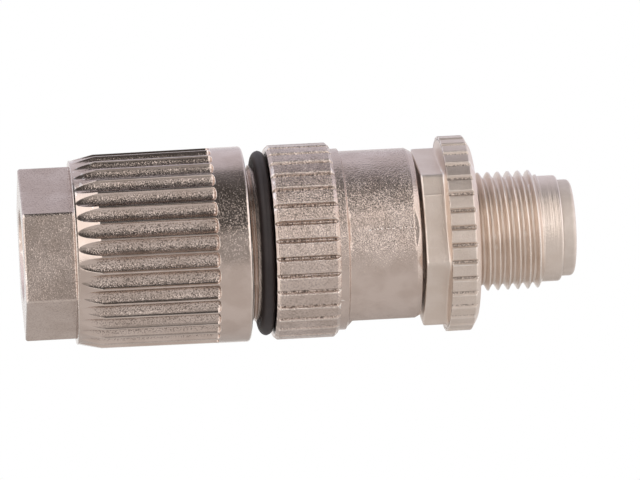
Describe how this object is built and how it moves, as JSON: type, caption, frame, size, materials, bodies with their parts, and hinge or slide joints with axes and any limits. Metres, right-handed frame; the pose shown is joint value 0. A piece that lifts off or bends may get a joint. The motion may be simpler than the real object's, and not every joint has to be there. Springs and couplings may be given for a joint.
{
  "type": "circular connector",
  "caption": "Straight metal M12 cable plug with a fluted clamp nut, a knurled ring, a ring seal, a knurled locking screw and pin contacts in a sleeve",
  "frame": {"origin": "middle of the clamp nut's rear hexagon face, on the plug's axis, at the bottom of the part as it stands", "axes": "+Z along the plug's axis from the cable end to the mating end; +X towards the wide flat on the barrel and the coding key"},
  "size_m": [0.0194, 0.0194, 0.0546],
  "materials": {
    "nickel_diecast": "satin",
    "nickel_turned": "satin",
    "nitrile_rubber": "matte",
    "moulded_nylon": "matte",
    "plated_steel": "satin",
    "gold_plate": "polished"
  },
  "bodies": {
    "housing": {"housing": "nickel_diecast", "housing_seal": "nitrile_rubber", "clamp_cage": "moulded_nylon", "cable_seal": "nitrile_rubber", "seal_washer": "plated_steel", "screen_ring": "plated_steel", "terminal_block": "moulded_nylon", "terminal_screw_1": "plated_steel", "terminal_screw_2": "plated_steel", "terminal_screw_3": "plated_steel", "terminal_screw_4": "plated_steel", "insert_seal": "nitrile_rubber", "contact_carrier": "moulded_nylon", "contact_pin_1": "gold_plate", "contact_pin_2": "gold_plate", "contact_pin_3": "gold_plate", "contact_pin_4": "gold_plate", "shield_sleeve": "nickel_turned", "retaining_ring": "plated_steel"},
    "thrust_ring": {"thrust_ring": "moulded_nylon"},
    "clamp_nut": {"clamp_nut": "nickel_diecast"},
    "locking_screw": {"locking_screw": "nickel_turned"}
  },
  "joints": [
    {"name": "clamp_travel", "type": "slide", "parent": "housing", "child": "thrust_ring", "axis": [0, 0, 1], "range_m": [-0.00451, 0.00031]},
    {"name": "clamp_turn", "type": "hinge", "parent": "thrust_ring", "child": "clamp_nut", "pos_m": [0, 0, 0.011], "axis": [0, 0, 1], "range_deg": [-2160, 144]},
    {"name": "lock_turn", "type": "hinge", "parent": "housing", "child": "locking_screw", "pos_m": [0, 0, 0.042], "axis": [0, 0, 1], "continuous": true}
  ],
  "couplings": [
    {"joint": "clamp_travel", "follows": "clamp_turn", "m_per_rad": 0.00011937}
  ]
}
